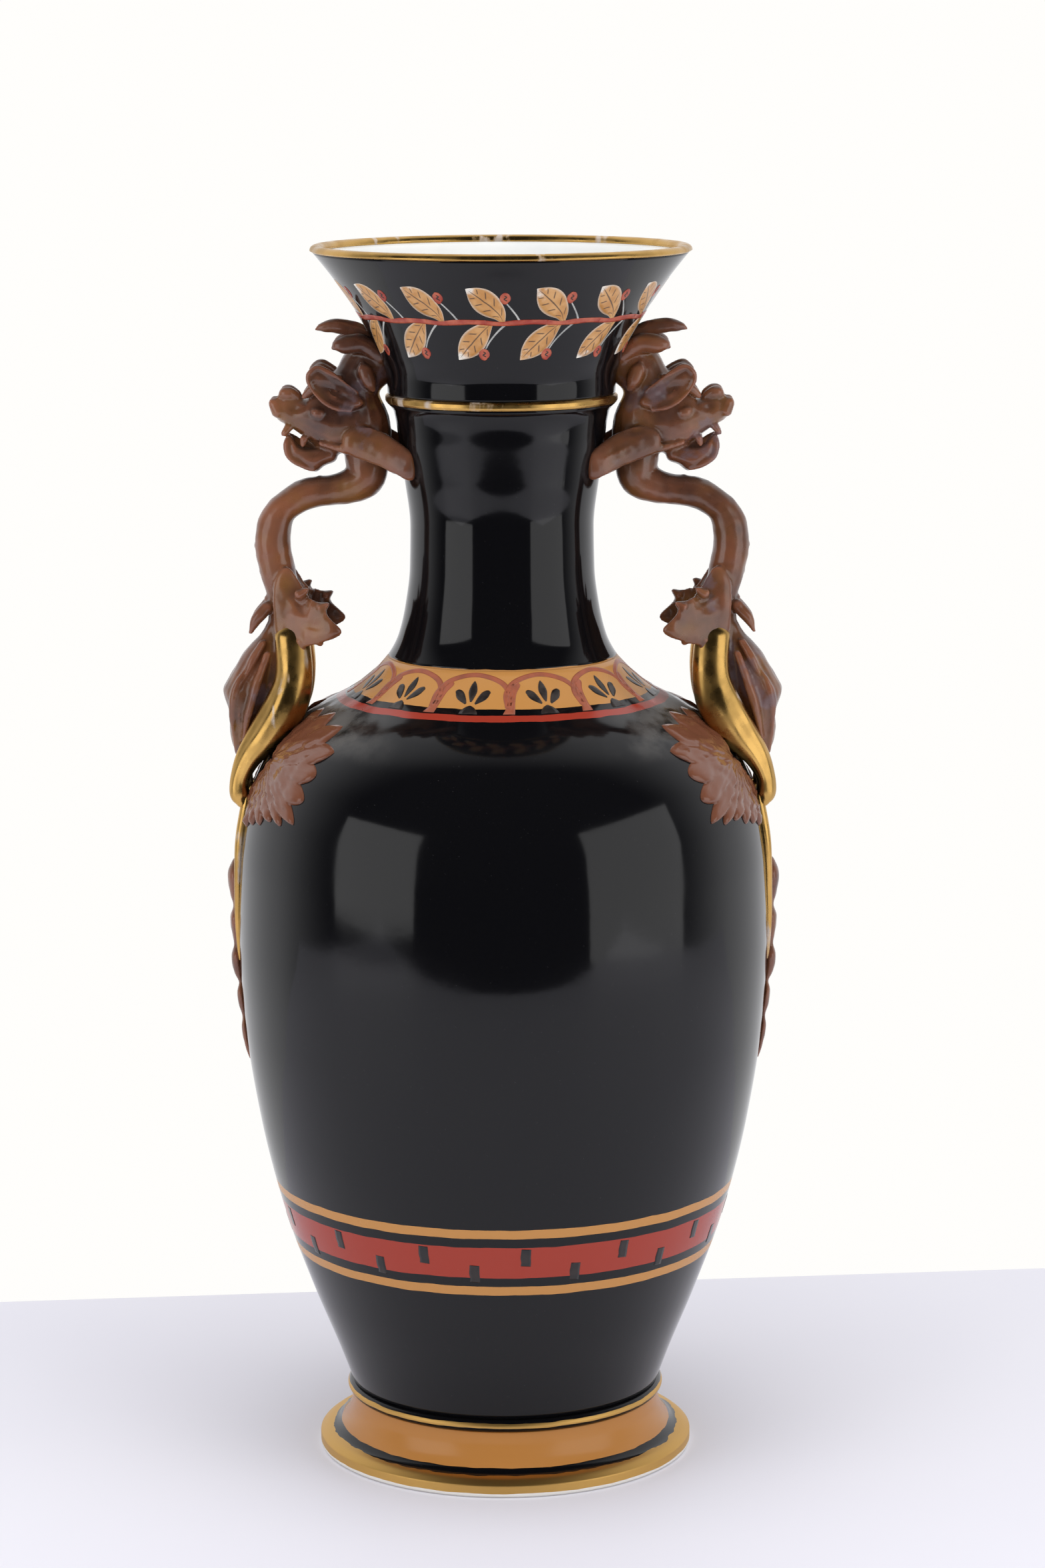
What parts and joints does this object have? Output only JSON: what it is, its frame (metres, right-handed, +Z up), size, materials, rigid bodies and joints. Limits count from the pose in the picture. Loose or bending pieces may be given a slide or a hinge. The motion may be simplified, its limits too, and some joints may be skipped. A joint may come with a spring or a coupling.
{
  "type": "vase",
  "caption": "Tall black-glazed porcelain vase with a flared mouth, slim neck, egg-shaped body, spreading foot and two dragon handles from mouth to shoulder.",
  "frame": {"origin": "middle of the foot's underside, on the surface that the vase stands on", "axes": "+Z up along the vessel's axis, +X through the right handle, -Y towards the viewer"},
  "size_m": [0.2198, 0.2092, 0.48],
  "materials": {
    "black_glaze": "glossy black glaze",
    "ochre_enamel": "glossy ochre enamel",
    "brown_enamel": "satin brown enamel",
    "gilding": "worn gilding on glaze"
  },
  "bodies": {
    "root": {"foot": "ochre_enamel", "foot_bead": "gilding", "body": "black_glaze", "neck": "black_glaze", "neck_bead": "gilding", "mouth": "black_glaze", "lip": "gilding", "right_dragon_head": "brown_enamel", "right_dragon_neck": "brown_enamel", "right_dragon_jaw": "brown_enamel", "right_crest_horn": "brown_enamel", "right_mask_leaf": "brown_enamel", "right_pendant": "brown_enamel", "right_horn_front": "brown_enamel", "right_horn_back": "brown_enamel", "right_curl_front": "brown_enamel", "right_curl_back": "brown_enamel", "right_ear_front": "brown_enamel", "right_ear_back": "brown_enamel", "right_cheek_fin_front": "brown_enamel", "right_cheek_fin_back": "brown_enamel", "right_collar_leaf_front": "brown_enamel", "right_collar_leaf_back": "brown_enamel", "right_leg_front": "gilding", "right_leg_back": "gilding", "right_body_leaf_front": "brown_enamel", "right_body_leaf_back": "brown_enamel", "right_band_front": "gilding", "right_band_back": "gilding", "left_dragon_head": "brown_enamel", "left_dragon_neck": "brown_enamel", "left_dragon_jaw": "brown_enamel", "left_crest_horn": "brown_enamel", "left_mask_leaf": "brown_enamel", "left_pendant": "brown_enamel", "left_horn_front": "brown_enamel", "left_horn_back": "brown_enamel", "left_curl_front": "brown_enamel", "left_curl_back": "brown_enamel", "left_ear_front": "brown_enamel", "left_ear_back": "brown_enamel", "left_cheek_fin_front": "brown_enamel", "left_cheek_fin_back": "brown_enamel", "left_collar_leaf_front": "brown_enamel", "left_collar_leaf_back": "brown_enamel", "left_leg_front": "gilding", "left_leg_back": "gilding", "left_body_leaf_front": "brown_enamel", "left_body_leaf_back": "brown_enamel", "left_band_front": "gilding", "left_band_back": "gilding"}
  },
  "joints": []
}
